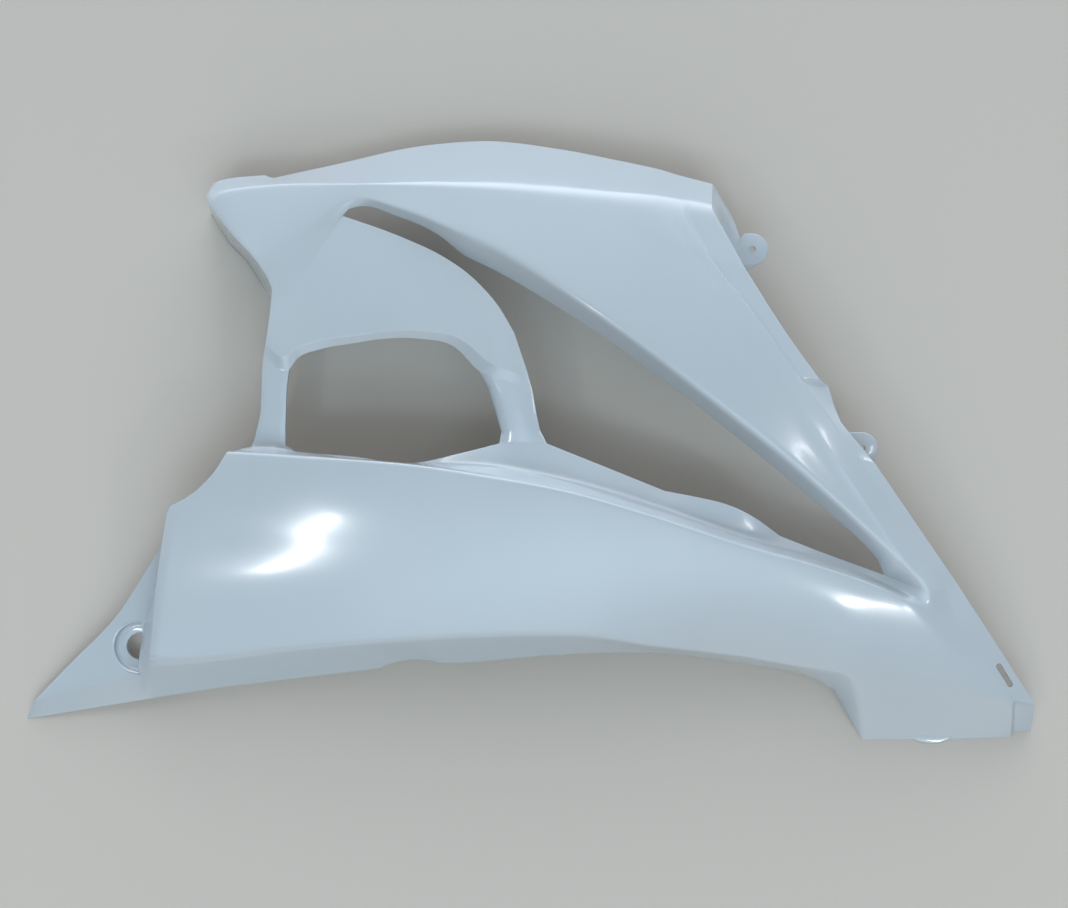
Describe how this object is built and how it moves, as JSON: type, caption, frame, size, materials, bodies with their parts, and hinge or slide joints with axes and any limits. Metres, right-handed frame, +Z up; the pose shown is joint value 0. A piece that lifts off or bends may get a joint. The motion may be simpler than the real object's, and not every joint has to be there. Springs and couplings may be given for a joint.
{
  "type": "motorcycle fairing side panel",
  "caption": "Thin moulded side panel of a sport motorcycle fairing, with a smooth belly below a stepped shoulder, a window, a long tapering vent and a pointed rear wing with a bolt seat.",
  "frame": {"origin": "middle of the outline box in plan, at ground level", "axes": "+X from the tail of the wing to the front corner, +Y from the belly edge to the top edge, +Z up, out of the painted side; the panel lies on its open side"},
  "size_m": [0.9091, 0.539, 0.099],
  "materials": {
    "white_plastic": "glossy unpainted white moulding"
  },
  "bodies": {
    "root": {"fairing_panel": "white_plastic"}
  },
  "joints": []
}
